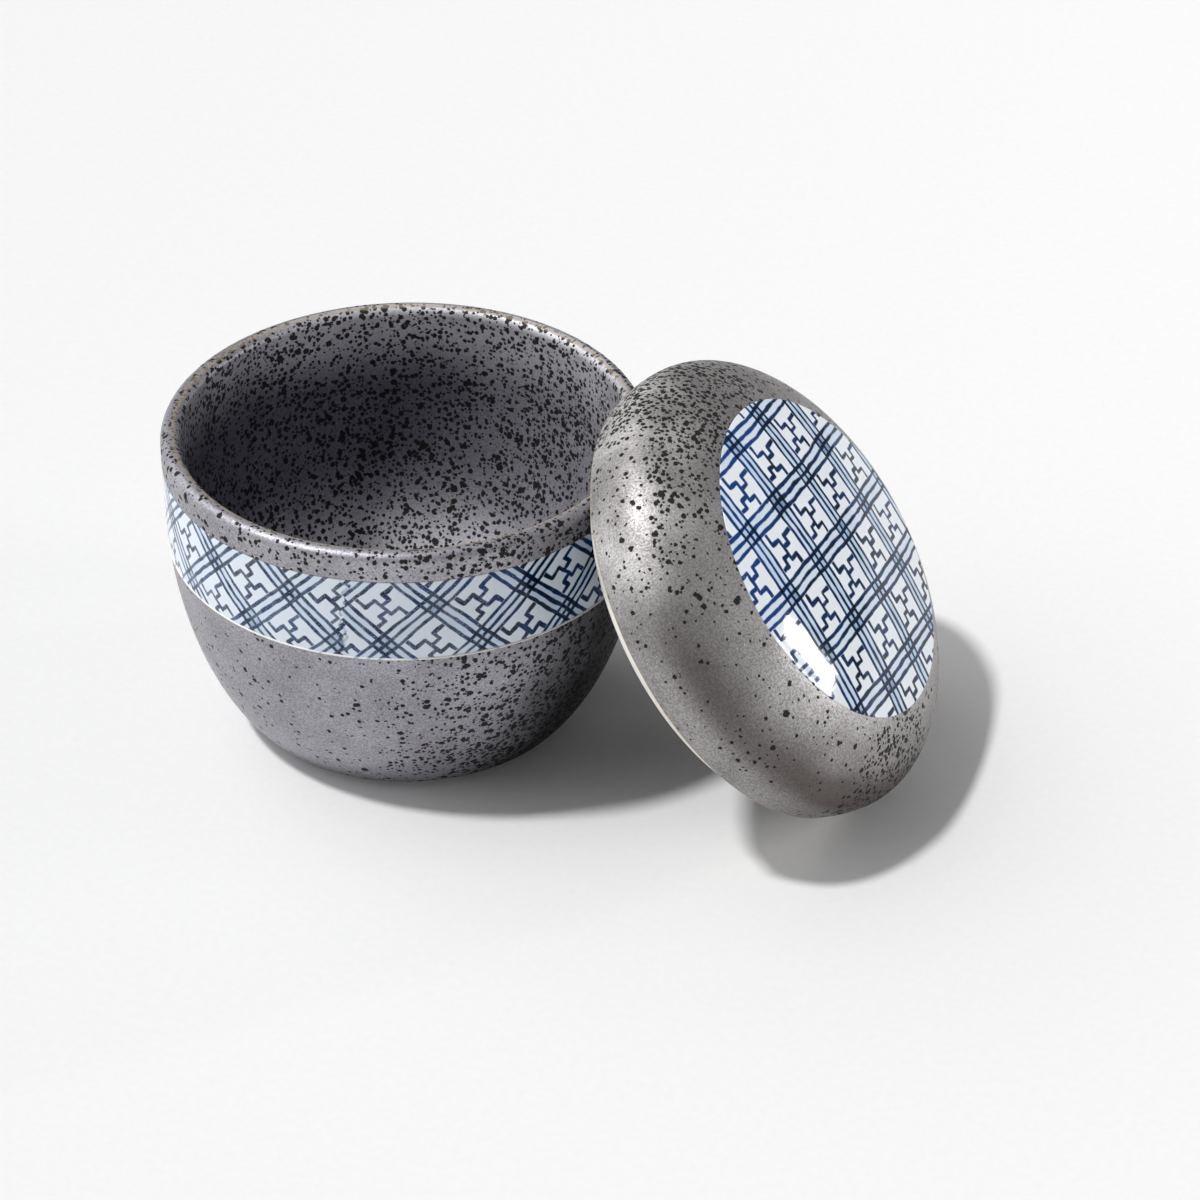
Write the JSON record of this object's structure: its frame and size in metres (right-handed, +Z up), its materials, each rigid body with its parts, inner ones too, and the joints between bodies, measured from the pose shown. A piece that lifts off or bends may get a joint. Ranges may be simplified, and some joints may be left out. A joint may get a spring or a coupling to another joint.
{
  "type": "lidded steaming cup",
  "caption": "Round-bellied glazed cup with a domed, knobless lid leaning on its side; the lid's collar drops inside the cup's rounded lip when closed.",
  "frame": {"origin": "centre of the cup's foot ring, on the table", "axes": "+Z up along the cup's axis, +X from the cup towards the leaning lid"},
  "size_m": [0.1467, 0.09, 0.075],
  "materials": {
    "speckled_glaze": "satin",
    "patterned_porcelain": "gloss"
  },
  "bodies": {
    "cup": {"cup": "speckled_glaze", "cup_band": "patterned_porcelain"},
    "lid": {"lid": "speckled_glaze", "lid_medallion": "patterned_porcelain"}
  },
  "joints": [
    {"name": "lid_lift", "type": "slide", "parent": "cup", "child": "lid", "axis": [0, 0, 1], "range_m": [0, 0.09]}
  ]
}
